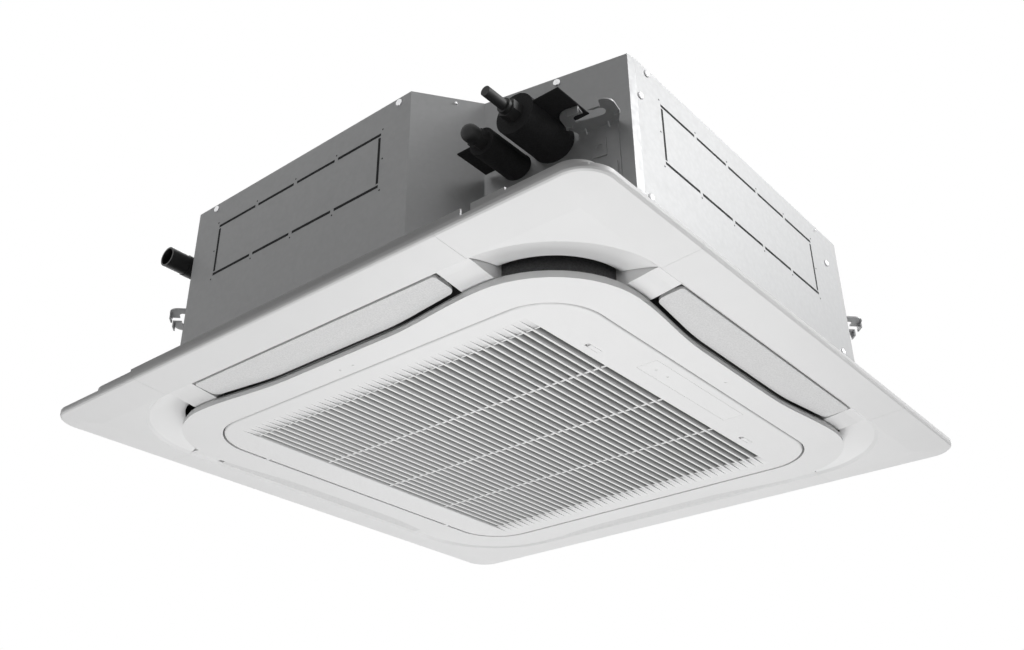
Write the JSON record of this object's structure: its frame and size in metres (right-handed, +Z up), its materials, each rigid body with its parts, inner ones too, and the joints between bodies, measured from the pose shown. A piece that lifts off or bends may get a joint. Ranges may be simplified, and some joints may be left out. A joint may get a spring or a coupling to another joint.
{
  "type": "ceiling cassette air conditioner",
  "caption": "Square ceiling cassette air conditioner: sheet metal casing with hanging brackets over a white louvred panel with a hinged intake grille.",
  "frame": {"origin": "middle of the four hanging slots, in the lower plane of the bracket plates, 178 mm above the ceiling plane", "axes": "+Z up; the intake grille's vanes run along X and its three ribs along Y; the pipe corner is at -X -Y and the drain stub points to -X"},
  "size_m": [0.95, 0.95, 0.301],
  "materials": {
    "galvanised_sheet": "dull galvanised sheet, very fine spangle",
    "plated_steel": "bright zinc plate",
    "white_foam": "fine bead foam",
    "copper": "drawn copper",
    "black_foam": "closed cell foam, dull",
    "dark_brass": "blackened",
    "black_plastic": "moulded",
    "ivory_plastic": "moulded",
    "fin_aluminium": "thin fins",
    "fan_plastic": "moulded",
    "motor_grey": "satin",
    "board_green": "solder mask",
    "panel_white": "fine satin moulding",
    "louver_grey": "fine grained moulding",
    "filter_mesh": "woven mesh in a frame",
    "display_white": "smooth"
  },
  "bodies": {
    "root": {"casing_top": "galvanised_sheet", "casing_side_a": "galvanised_sheet", "casing_side_b": "galvanised_sheet", "casing_screws": "plated_steel", "insulation_liner": "black_foam", "hanger_near": "galvanised_sheet", "hanger_left": "galvanised_sheet", "hanger_far": "galvanised_sheet", "hanger_right": "galvanised_sheet", "gas_pipe": "copper", "gas_insulation": "black_foam", "gas_flare_nut": "dark_brass", "liquid_pipe": "copper", "liquid_insulation": "black_foam", "liquid_cap_nut": "dark_brass", "drain_outlet": "black_plastic", "drain_pan": "white_foam", "drain_pump": "ivory_plastic", "float_stem": "ivory_plastic", "coil_fins": "fin_aluminium", "coil_end_plates": "plated_steel", "coil_bends": "copper", "fan_motor": "motor_grey", "motor_bushes": "black_plastic", "bell_mouth": "fan_plastic", "control_box": "galvanised_sheet", "control_box_lid": "galvanised_sheet", "terminal_block": "ivory_plastic", "control_board": "board_green", "panel_frame": "panel_white", "corner_cover_near": "panel_white", "corner_cover_left": "panel_white", "corner_cover_far": "panel_white", "corner_cover_right": "panel_white", "inner_ring": "panel_white", "louver_motors": "motor_grey", "louver_bearings": "black_plastic", "grille_hinge_pins": "plated_steel", "panel_seals": "black_foam", "panel_bolts": "plated_steel"},
    "fan": {"fan_wheel": "fan_plastic", "fan_nut": "plated_steel", "motor_shaft": "plated_steel"},
    "louver_left": {"louver_left": "louver_grey"},
    "louver_far_left": {"louver_far_left": "louver_grey"},
    "louver_far_right": {"louver_far_right": "louver_grey"},
    "louver_right": {"louver_right": "louver_grey"},
    "grille": {"intake_grille": "panel_white", "air_filter": "filter_mesh", "display_window": "display_white"},
    "latch_a": {"latch_a": "panel_white"},
    "latch_b": {"latch_b": "panel_white"},
    "float": {"float_switch": "ivory_plastic"}
  },
  "joints": [
    {"name": "fan_spin", "type": "hinge", "parent": "root", "child": "fan", "pos_m": [0, 0, 0.022], "axis": [0, 0, 1], "continuous": true},
    {"name": "louver_far_right_swing", "type": "hinge", "parent": "root", "child": "louver_far_right", "pos_m": [0.398, 0, -0.178], "axis": [0, 1, 0], "range_deg": [0, 60]},
    {"name": "louver_far_left_swing", "type": "hinge", "parent": "root", "child": "louver_far_left", "pos_m": [0, 0.398, -0.178], "axis": [-1, 0, 0], "range_deg": [0, 60]},
    {"name": "louver_left_swing", "type": "hinge", "parent": "root", "child": "louver_left", "pos_m": [-0.398, 0, -0.178], "axis": [0, -1, 0], "range_deg": [0, 60]},
    {"name": "louver_right_swing", "type": "hinge", "parent": "root", "child": "louver_right", "pos_m": [0, -0.398, -0.178], "axis": [1, 0, 0], "range_deg": [0, 60]},
    {"name": "grille_swing", "type": "hinge", "parent": "root", "child": "grille", "pos_m": [0, 0.318, -0.2015], "axis": [1, 0, 0], "range_deg": [0, 90]},
    {"name": "latch_a_slide", "type": "slide", "parent": "grille", "child": "latch_a", "axis": [-1, 0, 0], "range_m": [0, 0.006]},
    {"name": "latch_b_slide", "type": "slide", "parent": "grille", "child": "latch_b", "axis": [-1, 0, 0], "range_m": [0, 0.006]},
    {"name": "float_lift", "type": "slide", "parent": "root", "child": "float", "axis": [0, 0, 1], "range_m": [0, 0.014]}
  ]
}
